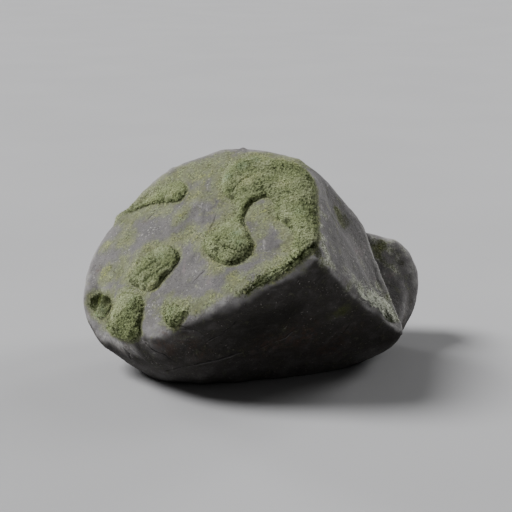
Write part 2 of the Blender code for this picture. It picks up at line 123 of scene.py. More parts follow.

# Colour that lies on the stone without height, some of it painted shade and painted highlight, with two that
# keep
# colour off: one keeps film off, although moss is near, and one lifts the painted shade of the faces that look
# down.
# Each spot: its pixel, its radius in pixels, and its strength in percent.
STONE_SPOTS = {
    "green": (
        (206, 170, 24, 85), (186, 172, 20, 85), (224, 158, 14, 60), (168, 192, 20, 80), (148, 208, 20, 80),
        (128, 218, 17, 75), (165, 211, 15, 60), (196, 196, 17, 60), (126, 238, 18, 80), (106, 246, 12, 60),
        (180, 216, 15, 85), (188, 234, 16, 85), (201, 243, 14, 75), (170, 242, 12, 60), (212, 196, 12, 50),
        (254, 212, 15, 100), (266, 218, 14, 95), (258, 234, 12, 70), (290, 230, 12, 90),
        (288, 246, 11, 80), (217, 264, 16, 75), (248, 256, 12, 70), (236, 280, 13, 80), (228, 290, 11, 60),
        (196, 306, 12, 80), (209, 299, 11, 75), (106, 276, 16, 80), (122, 271, 15, 75), (104, 316, 14, 85),
        (143, 294, 12, 70), (124, 258, 12, 50), (150, 282, 13, 70), (112, 292, 10, 50), (160, 300, 9, 50),
        (186, 305, 9, 60), (216, 240, 10, 55), (206, 228, 9, 45), (226, 206, 11, 55), (216, 212, 9, 40),
        (338, 212, 9, 80), (341, 222, 8, 90), (384, 244, 9, 50), (374, 250, 9, 50), (343, 311, 10, 80),
        (332, 318, 8, 30), (322, 262, 8, 40), (302, 264, 12, 70), (276, 270, 12, 70), (262, 278, 9, 60),
        (328, 206, 9, 35), (282, 158, 12, 90), (294, 161, 11, 100), (304, 164, 9, 100), (268, 154, 10, 60),
        (118, 219, 9, 100), (126, 212, 9, 90),
    ),
    "yellow": (
        (104, 272, 9, 90), (118, 276, 7, 60), (182, 213, 7, 80), (190, 222, 6, 60), (262, 211, 6, 90),
        (265, 221, 5, 80), (258, 244, 5, 90), (287, 224, 5, 50), (236, 277, 6, 70), (206, 176, 7, 60),
        (175, 226, 6, 50), (150, 300, 5, 30),
    ),
    "rust": (
        (182, 214, 5, 60), (98, 270, 5, 60), (216, 222, 8, 30), (146, 222, 7, 35), (336, 205, 6, 30),
        (165, 347, 14, 60), (186, 340, 12, 50), (200, 352, 14, 50), (126, 344, 8, 50), (163, 332, 7, 60),
        (300, 335, 26, 60), (330, 350, 22, 55), (265, 345, 22, 50), (350, 330, 16, 40), (120, 348, 10, 30),
        (408, 300, 9, 40), (405, 318, 7, 40),
    ),
    "dark_film": (
        (337, 211, 7, 70), (341, 219, 8, 100), (343, 226, 6, 80), (384, 246, 7, 80), (376, 254, 7, 60),
        (384, 262, 8, 40), (402, 262, 6, 40), (372, 244, 6, 50), (362, 268, 6, 30), (348, 280, 7, 30),
        (343, 311, 8, 50), (320, 209, 5, 40), (334, 219, 9, 90), (346, 221, 9, 90), (338, 225, 9, 90),
        (318, 250, 6, 100), (319, 254, 5, 100), (101, 300, 9, 100), (392, 262, 9, 35), (402, 266, 8, 35),
        (380, 242, 7, 70),
    ),
    # Painted shade: spots where the stone's colour is darkened to stand in for shade on its form.
    "painted_shade": (
        (184, 222, 24, 55), (200, 254, 16, 40), (130, 236, 13, 35), (196, 306, 12, 25), (290, 242, 9, 30),
        (165, 190, 13, 45), (118, 276, 10, 30), (190, 285, 14, 20), (335, 236, 22, 20), (350, 262, 18, 20),
        (258, 328, 30, 95), (288, 312, 24, 80), (228, 344, 18, 40), (186, 233, 10, 30), (318, 252, 6, 40),
    ),
    "bare": (
        (236, 303, 7, 100), (246, 300, 7, 100), (256, 295, 7, 100), (267, 290, 7, 100), (279, 286, 7, 100),
        (290, 280, 7, 100), (300, 273, 7, 100), (309, 265, 7, 100), (316, 262, 6, 80), (325, 250, 7, 80),
        (170, 268, 8, 70), (176, 262, 7, 70), (146, 310, 6, 60), (147, 322, 6, 70), (155, 310, 8, 90),
        (158, 319, 7, 90), (160, 302, 7, 80), (251, 278, 6, 80), (258, 272, 6, 70),
    ),
    # Spots where the painted shade of the faces that look down is lifted, so that they are lighter.
    "shade_lifted": (
        (118, 338, 20, 100), (104, 325, 16, 100), (132, 350, 12, 80), (92, 312, 14, 80),
        (155, 350, 12, 50), (175, 342, 12, 30), (195, 334, 10, 30), (224, 309, 8, 50), (235, 302, 8, 90),
        (246, 298, 7, 60),
    ),
    # Painted highlight: spots lightened where light falls on the lip, the lower left, the crest, the tip and
    # the right rim.
    "highlight_spots": (
        (118, 345, 16, 75), (105, 332, 12, 50), (134, 351, 11, 60), (412, 268, 9, 65), (398, 242, 9, 60),
        (360, 300, 6, 35), (367, 304, 6, 50), (375, 309, 6, 45), (390, 307, 5, 60), (393, 313, 6, 80),
        (397, 321, 6, 90), (400, 327, 5, 90), (388, 240, 7, 55), (406, 252, 8, 60), (416, 282, 8, 55),
        (150, 356, 9, 40), (180, 322, 6, 20), (195, 316, 6, 25), (210, 310, 6, 30), (223, 305, 6, 30),
        (236, 300, 6, 35), (248, 295, 5, 20), (372, 258, 4, 40), (376, 268, 4, 45), (380, 278, 4, 45),
        (385, 288, 4, 45), (389, 299, 4, 50),
    ),
    "lichen": (
        (346, 270, 9, 50), (354, 280, 10, 60), (362, 289, 10, 90), (371, 296, 10, 100),
        (381, 302, 10, 100), (389, 310, 9, 100), (396, 320, 7, 90), (378, 286, 9, 70), (388, 298, 8, 80),
        (362, 264, 9, 35), (322, 262, 6, 50), (331, 232, 7, 40), (325, 216, 6, 40), (334, 250, 8, 40),
        (347, 288, 8, 35), (404, 250, 7, 40), (412, 268, 7, 30), (394, 242, 7, 40), (318, 206, 5, 40),
        (373, 240, 7, 60), (381, 246, 8, 60), (390, 250, 8, 60), (398, 258, 7, 40), (377, 256, 7, 50),
        (385, 264, 8, 40), (395, 270, 9, 60), (319, 212, 7, 70), (320, 224, 7, 80), (322, 236, 7, 80),
        (325, 248, 8, 90), (329, 258, 8, 80), (325, 262, 7, 60), (334, 268, 7, 60),
    ),
    "pale_grains": (
        (127, 250, 10, 90), (119, 262, 7, 70), (152, 306, 10, 90), (160, 330, 9, 60), (128, 348, 12, 90),
        (148, 360, 12, 70), (190, 263, 9, 50), (262, 262, 10, 60), (276, 252, 9, 70), (305, 255, 9, 60),
        (325, 290, 12, 50), (285, 300, 16, 35), (180, 345, 16, 50), (345, 270, 10, 50), (372, 312, 10, 50),
        (150, 232, 14, 80), (172, 218, 9, 70), (162, 205, 8, 70), (198, 206, 10, 60), (212, 224, 10, 50),
        (196, 272, 9, 70), (212, 284, 10, 50), (218, 300, 9, 50), (184, 292, 9, 40), (262, 250, 8, 60),
        (240, 275, 8, 50), (318, 212, 6, 90), (320, 226, 6, 90), (322, 240, 7, 90), (328, 252, 8, 70),
        (340, 240, 10, 50), (400, 346, 8, 40), (250, 360, 20, 30), (330, 326, 14, 40), (140, 236, 10, 60),
    ),
}
SPOT_EDGE = (0.1, 1.3)  # range, in radii of a spot

BULGES = {"bulge": (26, 1.2 * MM), "broad_bulge": (160, 7 * MM)}  # passes of smoothing, full height
UNDERSIDE_SHADE_SLOPES, UNDERSIDE_SHADE_HEIGHTS, GROUND_SHADE_EASING = (-0.12, 0.35), (12 * MM, 70 * MM), 0.5  # ranges of painted shade on faces that look down; how much less of it at the ground
FILM_REACH = 34 * MM  # how far film spreads from a cushion
FILM_LEAST, FILM_SIDES = 0.25, (-0.5, 0.8)  # its share on the side where it spreads least; range
BACK_PATCHES, BACK_EDGE, BACK_FILM = (70 * MM, 11), (-0.05, 0.4), 0.7  # film on the far side
BACKWARD, SKYWARD = (0.15, 0.5), (-0.1, 0.4)  # ranges of the slopes that it grows on

# ------------ the moss

MAT_GRAIN = 2.3 * MM
MAT_INSET = 2.2 * MM  # the mat lies this far under the tips of the shoots
MAT_SINK = 0.6  # its share of what the shoots sink in the gaps
MAT_ROOTING = 0.9 * MM  # how far the mat's underside takes hold of the stone
MAT_SMOOTHING, FADE_SMOOTHING = 3, 5
MAT_LUMPS, LUMP_SHIFT = ((30 * MM, 1.3 * MM), (14 * MM, 0.9 * MM)), 15  # wavelength and height of each
OUTSIDE = (0.9 * MM, 2.6 * MM)  # range of the height above the stone at which the outside begins
# Shoots grow in clumps: their noise, its range, how far the gaps sink, and the least of the gaps' darker
# colour, which is painted shade, and of their depth.
CLUMPS, CLUMP_EDGE, CLUMP_DEPTH = (3.1 * MM, 21), (-0.42, 0.3), 1.6 * MM
CLOSE_TONE, CLOSE_DEPTH = 0.3, 0.35
# The growth varies from close to coarse: the noise, its middle, its swing, and how close it is where pale.
COARSE_PATCHES, COARSE_MIDDLE, COARSE_SWING, STRAW_CLOSE = (42 * MM, 51), 0.42, 0.9, 0.55
FURROW_TONE, FURROW_FLOOR = 0.8, 0.2  # how much darker a furrow is painted, as painted shade, and the share of its width that is level
# Where the rim has died back: the bites, their range, depth and height, and what they take of the shoots.
RAGGED, RAGGED_EDGE, RAGGED_DEPTH, RAGGED_HEIGHTS = (11 * MM, 33), (-0.15, 0.4), 4.5 * MM, (3 * MM, 8 * MM)
RAGGED_SHOOTS, FINE_RAGGED, FINE_SHOOTS = 4.6 * MM, (5 * MM, 2), 1.8 * MM
LOWEST_SHOOT, LOW_SHOOT = 1.3 * MM, 1.8 * MM
FADE_STEPS = (4 * MM, 9 * MM, 14 * MM, 20 * MM, 27 * MM)  # a cushion thins out on its upper left over these
FADE_FOUND = 2 * MM  # how near a cushion is still over a place
FADE_SINK, FADE_THIN, FADE_SMALL = 0.9, 0.8, 0.3  # the shares of height, number and size that its shoots lose
RIM_SINK = 1.6 * MM  # how far below the stone its mat is there
THIN_FADE = 0.9  # how far thin growth is faded

SHOOT_SPACING = 2.5 * MM
SCATTER_TRIES = 5
LEAF_POINTS = ((0.04, 0, 0), (0.5, -0.22, 0.13), (0.5, 0.22, 0.13), (1, 0, 0.1))  # along +X, one unit long
LEAF_TRIANGLES = ((0, 1, 2), (1, 3, 2), (0, 3, 1), (0, 2, 3))
# A shoot is a rosette, and each pair is for its outer and inner leaves: how many, how long, how steep, how far
# turned, how far up the shoot, and how high in the shoot's colour a leaf begins and what it adds.
LEAF_COUNTS, LEAF_LENGTHS, LEAF_RISES = (5, 3), (2.7 * MM, 2.3 * MM), (math.radians(24), math.radians(62))
LEAF_TURNS, LEAF_ROOTS, LEAF_STARTS, LEAF_GAINS = (0, 0.5), (0.2 * MM, 0.9 * MM), (0, 0.35), (0.85, 0.65)
SHOOT_SIZES, LEAF_SIZES = (0.75, 1.2), (0.85, 1.15)  # smallest and largest
LEAN_SCATTER, LEAN_UP, TURN_SCATTER, RISE_SCATTER = 0.22, 0.18, 0.18, 0.15
UPRIGHT = 0.9  # an axis steeper than this is turned about X rather than Z

FRINGE = 13 * MM  # how far small shoots stray from a cushion
FRINGE_SIZE, FRINGE_HEIGHT = 0.62, 2.3 * MM
FRINGE_MIDDLE, FRINGE_NOISES = 0.45, (((14 * MM, 41), 0.9), ((5 * MM, 43), 0.5))
FRINGE_NEAREST, FRINGE_SIDE, FRINGE_SIDE_SWING = 0.6 * MM, 0.65, 0.6

# Each cushion: how far its colour goes to deep green and to pale, the length of its shoots, whether it thins
# out on its upper left, and whether film spreads from it.
DEFAULT_MOSS = {"tint": 0, "pale": 0, "length": 1, "fades": 1, "film": 1}
MOSS = {
    "crown_moss": {},
    "left_middle_moss": {},
    "left_lower_moss": {"tint": 0.1},
    "small_moss": {},
    "dimple_moss": {"tint": 0.15, "length": 0.9, "fades": 0},
    "upper_left_moss": {"length": 0.9},
    "tip_moss": {"pale": 1, "length": 0.65, "film": 0},
    "back_crown_moss": {"tint": 0.1},
    "back_left_moss": {"tint": 0.3},
    "back_right_moss": {"tint": 0.2},
}

# Furrows in the cushions: each one's pixels, its depth and its half width in millimetres.
FURROWS = {
    "tail": (((256, 281), (266, 272), (278, 268), (290, 264), (299, 257), (306, 249), (314, 245)), 2.8, 4.5),
    "crown_left": (((229, 197), (233, 188), (240, 180), (250, 175)), 1.4, 3.5),
    "left_middle": (((129, 282), (137, 274), (147, 266), (155, 260)), 0.5, 4),
    "left_middle_right": (((143, 281), (152, 274), (161, 267), (170, 261)), 0.5, 4),
    "small": (((167, 327), (174, 320), (181, 313)), 1.3, 3.5),
}

# How the growth varies. Each spot: its pixel, its radius in pixels, and its strength in percent.
# Coarse growth, which is darker: partly coarser growth, partly painted shade on the cushions' shaded lower
# right sides.
COARSE_AND_SHADED = (
    (264, 196, 10, 90), (256, 188, 8, 70), (245, 191, 7, 70), (250, 203, 6, 70), (275, 165, 9, 50),
    (298, 166, 8, 50), (308, 177, 8, 80), (303, 184, 7, 60), (312, 214, 7, 80), (315, 219, 5, 80),
    (276, 205, 7, 70), (290, 206, 8, 60), (277, 218, 5, 80), (287, 223, 5, 70), (233, 252, 7, 70),
    (245, 246, 7, 90), (236, 260, 7, 90), (228, 262, 5, 90), (248, 233, 5, 80), (249, 224, 4, 80),
    (305, 243, 6, 50), (316, 249, 6, 100), (320, 254, 5, 100), (289, 273, 6, 70), (275, 270, 5, 60),
    (262, 281, 5, 90), (251, 286, 6, 90), (243, 296, 5, 100), (168, 261, 7, 80), (161, 275, 6, 90),
    (145, 280, 6, 70), (130, 282, 6, 80), (176, 257, 4, 90), (134, 308, 6, 90), (140, 311, 5, 80),
    (112, 326, 6, 90), (119, 332, 6, 90), (133, 340, 6, 100), (138, 336, 5, 90), (121, 320, 6, 60),
    (173, 327, 5, 100), (167, 325, 4, 80), (180, 315, 5, 70), (100, 298, 8, 100), (92, 302, 6, 90),
    (391, 316, 7, 100), (385, 313, 5, 80), (374, 303, 7, 80), (378, 297, 8, 60), (368, 291, 8, 50),
    (386, 306, 7, 80), (362, 286, 7, 60), (172, 176, 6, 60), (120, 218, 7, 60), (128, 316, 9, 80),
    (136, 322, 8, 80), (121, 324, 8, 70), (130, 334, 9, 80), (136, 330, 6, 80), (140, 209, 6, 50),
    (160, 202, 6, 80), (176, 196, 7, 100), (182, 200, 5, 100), (170, 203, 5, 90), (150, 206, 5, 70),
    (172, 173, 6, 100), (120, 220, 6, 90),
)
THIN = (  # growth that lies close on the stone
    (138, 287, 7, 100), (131, 290, 6, 100), (145, 288, 5, 80), (126, 287, 4, 60), (117, 219, 6, 100),
    (123, 213, 5, 70), (101, 312, 7, 80), (236, 296, 4, 60), (318, 250, 6, 100), (317, 255, 4, 80),
)
MOSS_SPOTS = {
    "straw": (
        (245, 179, 11, 100), (236, 186, 7, 60), (258, 174, 7, 70), (262, 157, 8, 50), (283, 184, 10, 70),
        (297, 164, 8, 70), (295, 196, 8, 50), (292, 236, 8, 50), (290, 250, 7, 50), (138, 262, 8, 50),
        (130, 322, 6, 40), (150, 287, 7, 60), (140, 328, 5, 70), (108, 303, 5, 50), (150, 198, 10, 50),
        (172, 192, 9, 40),
    ),
    "mint": (
        (242, 165, 8, 90), (226, 176, 7, 80), (256, 159, 6, 60), (236, 232, 7, 80), (240, 243, 7, 90),
        (231, 240, 5, 50), (269, 281, 6, 80), (170, 311, 6, 60), (101, 312, 8, 90), (96, 316, 6, 80),
        (380, 300, 9, 70), (132, 300, 7, 50), (128, 311, 6, 40), (300, 210, 8, 40), (160, 256, 7, 40),
    ),
    "olive": (
        (99, 298, 8, 100), (92, 302, 6, 90), (106, 300, 5, 70), (390, 317, 6, 60), (318, 253, 5, 60),
    ),
    "dark_growth_and_shade": (  # dark growth, partly painted shade on the cushions' shaded lower right rims and under the dimple's rim
        (253, 286, 7, 90), (247, 290, 7, 100), (242, 295, 6, 100), (259, 280, 6, 90), (265, 274, 5, 80),
        (275, 269, 4, 60), (290, 263, 4, 60), (302, 257, 5, 70), (309, 250, 4, 60), (276, 284, 4, 50),
        (317, 246, 7, 100), (319, 251, 7, 100), (317, 256, 6, 100), (237, 257, 8, 50), (245, 248, 7, 60),
        (231, 264, 6, 60), (247, 236, 5, 50), (134, 308, 6, 40), (133, 302, 5, 40), (138, 320, 4, 30),
        (132, 284, 5, 60), (166, 273, 6, 60), (161, 277, 5, 60), (145, 276, 5, 50), (176, 257, 4, 50),
        (98, 298, 14, 100), (92, 301, 11, 90), (106, 299, 11, 90), (388, 314, 10, 100), (393, 320, 9, 100),
        (384, 310, 5, 50), (286, 220, 5, 70), (278, 212, 4, 50), (315, 212, 5, 70), (313, 197, 4, 50),
        (268, 284, 5, 90), (277, 283, 5, 80), (285, 279, 5, 80), (292, 273, 5, 70), (299, 268, 5, 70),
        (306, 261, 5, 70), (309, 178, 5, 40), (172, 173, 6, 60), (181, 200, 5, 60), (172, 204, 4, 50),
        (119, 221, 5, 60), (117, 330, 5, 30), (172, 326, 4, 50), (231, 196, 4, 40), (252, 200, 5, 40),
    ),
}


# ------------ meshes and places


def welded_copy(node):
    """A copy of the node's mesh, with the corners that its faces share joined."""
    bm = bmesh.new()
    bm.from_mesh(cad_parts[node].data)
    bmesh.ops.remove_doubles(bm, verts=bm.verts, dist=1e-6)
    mesh = bpy.data.meshes.new(node)
    bm.to_mesh(mesh)
    bm.free()
    mesh.materials.clear()
    return mesh


def add_object(name, data):
    made = bpy.data.objects.new(name, data)
    bpy.context.scene.collection.objects.link(made)
    return made


def surface_of(*meshes):
    """A search tree over the faces of the meshes."""
    bm = bmesh.new()
    for mesh in meshes:
        bm.from_mesh(mesh)
    tree = BVHTree.FromBMesh(bm)
    bm.free()
    return tree


def read_points(mesh, attribute="co"):
    found = np.empty(len(mesh.vertices) * 3, np.float32)
    mesh.vertices.foreach_get(attribute, found)
    return found.reshape(-1, 3).astype(float)


def write_points(mesh, points):
    mesh.vertices.foreach_set("co", points.astype(np.float32).ravel())
    mesh.update()


def remeshed(mesh, grain):
    """The mesh's shape on an even grid of squares this size."""
    helper = add_object("remesh_helper", mesh)
    modifier = helper.modifiers.new("grid", "REMESH")
    modifier.mode, modifier.voxel_size = "VOXEL", grain
    bpy.context.view_layer.update()
    made = bpy.data.meshes.new_from_object(helper.evaluated_get(bpy.context.evaluated_depsgraph_get()))
    bpy.data.objects.remove(helper)
    return made


def neighbour_pairs(mesh):
    pairs = np.empty(len(mesh.edges) * 2, np.int32)
    mesh.edges.foreach_get("vertices", pairs)
    pairs = pairs.reshape(-1, 2)
    return np.concatenate([pairs, pairs[:, ::-1]])


def smoothed(values, pairs, passes):
    """Values on a mesh's points, drawn half way to the mean of their neighbours this many times."""
    values = values.copy()
    count = len(values)
    neighbours = np.bincount(pairs[:, 0], minlength=count)
    for _ in range(passes):
        for axis in range(values.shape[1]):
            total = np.bincount(pairs[:, 0], values[pairs[:, 1], axis], count)
            values[:, axis] += 0.5 * (total / neighbours - values[:, axis])
    return values


def step(values, low, high):
    share = np.clip((values - low) / (high - low), 0, 1)
    return share * share * (3 - 2 * share)


def noise_at(points, wavelength, shift=0):
    """Smooth noise of this wavelength at each point, from about -1 to 1."""
    moved = points / wavelength + shift
    return np.array([noise.noise(Vector(p)) for p in moved])


def unit(vectors):
    return vectors / np.linalg.norm(vectors, axis=1, keepdims=True)


def seen_place(surface, pixel):
    """The place on the surface that the camera sees at this pixel, or the nearest to its line of sight."""
    across, down = pixel
    sight = FORWARD.copy()
    sight[0] += (across - FRAME_PIXELS / 2) / PIXELS_PER_UNIT
    sight += UPWARD * (FRAME_PIXELS / 2 - down) / PIXELS_PER_UNIT
    sight = Vector(sight).normalized()
    hit = surface.ray_cast(Vector(CAMERA_PLACE), sight)[0]
    if hit is not None:
        return np.array(hit)
    reaches = np.arange(DISTANCE - SIGHT_REACH, DISTANCE + SIGHT_REACH, SIGHT_STEP)
    tries = [Vector(CAMERA_PLACE) + sight * reach for reach in reaches]
    return np.array(min((surface.find_nearest(p) for p in tries), key=lambda found: found[3])[0])


def seen_lines(surface, table):
    """The lines of a table as places on the surface, each with its height or depth and its half width."""
    return [(np.array([seen_place(surface, pixel) for pixel in pixels]), size * MM, half_width * MM)
            for pixels, size, half_width in table.values()]


def distance_to(points, place):
    return np.linalg.norm(points - place, axis=1)


def distance_to_line(points, corners):
    """Each point's distance to the nearest stretch of the line through the corners."""
    nearest = np.full(len(points), np.inf)
    for start, end in zip(corners, corners[1:]):
        along = end - start
        share = np.clip((points - start) @ along / (along @ along), 0, 1)
        nearest = np.minimum(nearest, np.linalg.norm(points - start - share[:, None] * along, axis=1))
    return nearest


def spots_at(points, surface, spots):
    """How strongly each point is covered by the spots, from 0 to 1, with soft rims."""
    cover = np.zeros(len(points))
    for across, down, radius, strength in spots:
        away = distance_to(points, seen_place(surface, (across, down))) / (radius * PIXEL)
        cover = 1 - (1 - cover) * (1 - strength / 100 * (1 - step(away, *SPOT_EDGE)))
    return cover


def along_stone(normals):
    """The way along the stone that runs up and to the left in the camera's view, for each of its normals."""
    return unit(UP_LEFT - (normals @ UP_LEFT)[:, None] * normals)


def set_attribute(mesh, name, values):
    mesh.attributes.new(name, "FLOAT", "POINT").data.foreach_set("value", values.astype(np.float32))


# ------------ the stone


def refine_near(mesh, cracks, chip):
    """Cuts the faces near a crack or the chip in nine."""
    bm = bmesh.new()
    bm.from_mesh(mesh)
    bm.faces.ensure_lookup_table()
    centres = np.array([face.calc_center_median() for face in bm.faces])
    chosen = np.min([distance_to_line(centres, line) for line, _, _ in cracks], axis=0) < CRACK_REFINED
    chosen |= distance_to(centres, chip) < CROWN_CHIP[1]
    edges = {edge for face, is_chosen in zip(bm.faces, chosen) if is_chosen for edge in face.edges}
    bmesh.ops.subdivide_edges(bm, edges=list(edges), cuts=2, use_grid_fill=True)
    bmesh.ops.triangulate(bm, faces=[face for face in bm.faces if len(face.verts) > 4])
    bm.to_mesh(mesh)
    bm.free()


def distance_to_moss(points, cushions):
    """Each point's distance to the nearest cushion, up to a few centimetres."""
    nearest = np.full(len(points), MOSS_REACH)
    for surface in cushions.values():
        for index, point in enumerate(points):
            found = surface.find_nearest(Vector(point), nearest[index])
            if found[0] is not None:
                nearest[index] = found[3]
    return nearest


def low_relief(points, normals, cushions):
    """How far the stone's unevenness and its ledges raise each point."""
    raised = np.zeros(len(points))
    for wavelength, height in RELIEF:
        raised += noise_at(points, wavelength) * height
    layers = np.abs(noise_at(points * LEDGE_STRETCH, *LEDGES))
    raised += LEDGE_HEIGHT * (step(layers, *LEDGE_EDGE) - 1) * step(-normals[:, 2], *LEDGE_SLOPES)
    return raised * step(distance_to_moss(points, cushions), *MOSS_CLEARANCE)


def crack_depths(points, cracks):
    deepest = np.zeros(len(points))
    wander = noise_at(points, *CRACK_WANDER) * CRACK_SWING
    for line, depth, half_width in cracks:
        away = np.abs(distance_to_line(points, line) + wander)
        to_end = np.minimum(distance_to(points, line[0]), distance_to(points, line[-1]))
        share = CRACK_END_DEPTH + (1 - CRACK_END_DEPTH) * step(to_end, 0, CRACK_ENDS)
        deepest = np.maximum(deepest, depth * (1 - step(away, CRACK_FLOOR, half_width)) * share)
    return deepest


def stone_shape(coarse, surface, cushions):
    """The stone's fine surface: the solid's own form, with everything that is raised on it or cut into it."""
    cracks = seen_lines(surface, CRACKS)
    chip_pixel, chip_reach, chip_height = CROWN_CHIP
    chip = seen_place(surface, chip_pixel)
    mesh = remeshed(coarse, STONE_GRAIN)
    points = read_points(mesh)
    above_ground = step(points[:, 2], *SMOOTHED_HEIGHTS)[:, None]
    points += (smoothed(points, neighbour_pairs(mesh), FACET_SMOOTHING) - points) * above_ground
    write_points(mesh, points)
    refine_near(mesh, cracks, chip)

    points, normals = read_points(mesh), read_points(mesh, "normal")
    raised = low_relief(points, normals, cushions)
    for line, height, half_width in seen_lines(surface, CRISP_EDGES):
        raised += height * np.clip(1 - distance_to_line(points, line) / half_width, 0, 1) ** EDGE_SHARPNESS
    for pixel, reach, height, level in BUMPS:
        away, reach = distance_to(points, seen_place(surface, pixel)), reach * MM
        raised += height * MM * (1 - step(away, level * reach, reach))
    crack_depth = crack_depths(points, cracks)
    raised -= crack_depth
    raised += chip_height * (1 - step(distance_to(points, chip), 0, chip_reach))
    raised *= step(points[:, 2], *RELIEF_HEIGHTS)
    points += normals * raised[:, None]
    points[:, 2] = np.maximum(points[:, 2], 0)
    write_points(mesh, points)
    set_attribute(mesh, "crack", np.clip(crack_depth / DARK_CRACK, 0, 1))
    return mesh


def film_beside_moss(points, normals, cushions):
    """How surely film spreads from moss to each point: far on its upper left, and hardly on its right."""
    nearest, side = np.full(len(points), FILM_REACH), np.zeros(len(points))
    along = along_stone(normals)
    for node, surface in cushions.items():
        settings = {**DEFAULT_MOSS, **MOSS[node]}
        if not settings["film"]:
            continue
        for index, point in enumerate(points):
            place, _, _, away = surface.find_nearest(Vector(point), nearest[index])
            if place is not None and away > 0:
                nearest[index] = away
                side[index] = (point - np.array(place)) @ along[index] / away * settings["fades"]
    reach = FILM_REACH * (FILM_LEAST + (1 - FILM_LEAST) * step(side, *FILM_SIDES))
    return 1 - step(nearest / reach, 0, 1)


def back_film(points, normals):
    """Film on the far side, which the camera doesn't see: where the stone faces up and away."""
    patches = step(noise_at(points, *BACK_PATCHES), *BACK_EDGE)
    return patches * step(normals[:, 1], *BACKWARD) * step(normals[:, 2], *SKYWARD) * BACK_FILM


# Painted highlight along the crisp edges, made uneven by noise.
def worn_edges(points, surface):
    worn = np.zeros(len(points))
    wander = noise_at(points, *HIGHLIGHT_WANDER) * HIGHLIGHT_SWING
    for line, height, half_width in seen_lines(surface, CRISP_EDGES):
        share = 1 - step(distance_to_line(points, line) + wander, HIGHLIGHT_CORE, half_width)
        worn = np.maximum(worn, share * min(height / HIGHLIGHT_HEIGHT, 1))
    return worn


def paint_stone(mesh, surface, cushions):
    """The stone's masks, which its material reads."""
    points, normals = read_points(mesh), read_points(mesh, "normal")
    masks = {name: spots_at(points, surface, spots) for name, spots in STONE_SPOTS.items()}
    pairs = neighbour_pairs(mesh)
    for name, (passes, height) in BULGES.items():
        bulge = ((points - smoothed(points, pairs, passes)) * normals).sum(axis=1)
        masks[name] = np.clip(bulge / height, -1, 1)
    bare = 1 - masks.pop("bare")
    masks["green"] = np.maximum(masks["green"], back_film(points, normals)) * bare
    masks["beside_moss"] = film_beside_moss(points, normals, cushions) * bare
    # Painted highlight along the crisp edges and over the spots.
    masks["worn"] = np.maximum(worn_edges(points, surface), masks.pop("highlight_spots"))
    # Painted shade on the faces that look down, eased near the ground and over the spots that lift it.
    shade_easing = GROUND_SHADE_EASING * (1 - step(points[:, 2], *UNDERSIDE_SHADE_HEIGHTS))
    masks["underside_shade"] = step(-normals[:, 2], *UNDERSIDE_SHADE_SLOPES) * ((1 - shade_easing) * (1 - masks.pop("shade_lifted")))
    for name, values in masks.items():
        set_attribute(mesh, name, values)


# ------------ the moss


def scattered_on(mesh, spacing, seed):
    """Places on the mesh no nearer to each other than the spacing, with the surface's normal at each."""
    random = np.random.default_rng(seed)
    mesh.calc_loop_triangles()
    points = read_points(mesh)
    corners = np.array([triangle.vertices for triangle in mesh.loop_triangles])
    a, b, c = (points[corners[:, index]] for index in range(3))
    normals = np.cross(b - a, c - a)
    areas = np.linalg.norm(normals, axis=1)
    tries = int(SCATTER_TRIES * areas.sum() / 2 / spacing**2)
    chosen = random.choice(len(areas), size=tries, p=areas / areas.sum())
    u, v = random.random((2, len(chosen)))
    over = u + v > 1
    u[over], v[over] = 1 - u[over], 1 - v[over]
    places = a[chosen] + u[:, None] * (b - a)[chosen] + v[:, None] * (c - a)[chosen]
    kept = spaced_out(places, spacing)
    return places[kept], (normals[chosen] / areas[chosen][:, None])[kept]


def spaced_out(places, spacing):
    """Which of the places stay, in their order, if none may be nearer than the spacing to one before it."""
    cells, kept = {}, []
    for index, cell in enumerate(map(tuple, np.floor(places / spacing).astype(int))):
        x, y, z = cell
        near = [other for i in (-1, 0, 1) for j in (-1, 0, 1) for k in (-1, 0, 1)
                for other in cells.get((x + i, y + j, z + k), ())]
        if not near or np.min(((places[near] - places[index]) ** 2).sum(axis=1)) > spacing**2:
            cells.setdefault(cell, []).append(index)
            kept.append(index)
    return kept


def rotate_about(vectors, axes, angles):
    """Vectors turned about unit axes, a row of each at a time."""
    cosine, sine = np.cos(angles)[:, None], np.sin(angles)[:, None]
    along = (vectors * axes).sum(axis=1, keepdims=True)
    return vectors * cosine + np.cross(axes, vectors) * sine + axes * along * (1 - cosine)


def growth_at(points, seen):
    """How the moss grows at each point: the masks of its colour, and how far it sinks in gaps and furrows."""
    masks = {name: spots_at(points, seen, spots) for name, spots in MOSS_SPOTS.items()}
    clump = step(noise_at(points, *CLUMPS), *CLUMP_EDGE)
    coarse = COARSE_MIDDLE + COARSE_SWING * noise_at(points, *COARSE_PATCHES) - STRAW_CLOSE * masks["straw"]
    # Spots of coarse growth, partly painted shade on the cushions' shaded lower right sides.
    coarse = np.clip(coarse + spots_at(points, seen, COARSE_AND_SHADED), 0, 1)
    furrow, sunk = np.zeros((2, len(points)))
    for line, depth, half_width in seen_lines(seen, FURROWS):
        share = 1 - step(distance_to_line(points, line), FURROW_FLOOR * half_width, half_width)
        furrow, sunk = np.maximum(furrow, share), np.maximum(sunk, share * depth)
    # Shoots in the gaps between clumps and in the furrows get darker colour: painted shade.
    tone = 1 - (1 - clump) * (CLOSE_TONE + (1 - CLOSE_TONE) * coarse)
    masks.update(coarse=coarse, tone=tone * (1 - FURROW_TONE * furrow))
    return masks, sunk + (1 - clump) * (CLOSE_DEPTH + (1 - CLOSE_DEPTH) * coarse) * CLUMP_DEPTH


